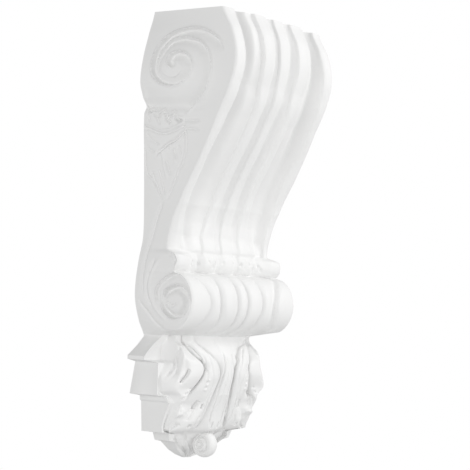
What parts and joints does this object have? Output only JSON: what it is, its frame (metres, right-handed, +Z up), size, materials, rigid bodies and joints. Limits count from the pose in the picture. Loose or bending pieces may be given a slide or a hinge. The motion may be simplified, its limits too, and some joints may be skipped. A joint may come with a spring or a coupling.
{
  "type": "corbel",
  "caption": "Cast scroll corbel with a ridged S-shaped front, a reeded roll, side volutes and a leafy pendant below, flat at the back and the top.",
  "frame": {"origin": "middle of the flat back, half way up, on the wall's plane", "axes": "+X along the wall, -Y away from the wall towards the front, +Z up"},
  "size_m": [0.2352, 0.1183, 0.5],
  "materials": {
    "cast": "matt white primer over dense foamed polyurethane"
  },
  "bodies": {
    "root": {"corbel": "cast"}
  },
  "joints": []
}
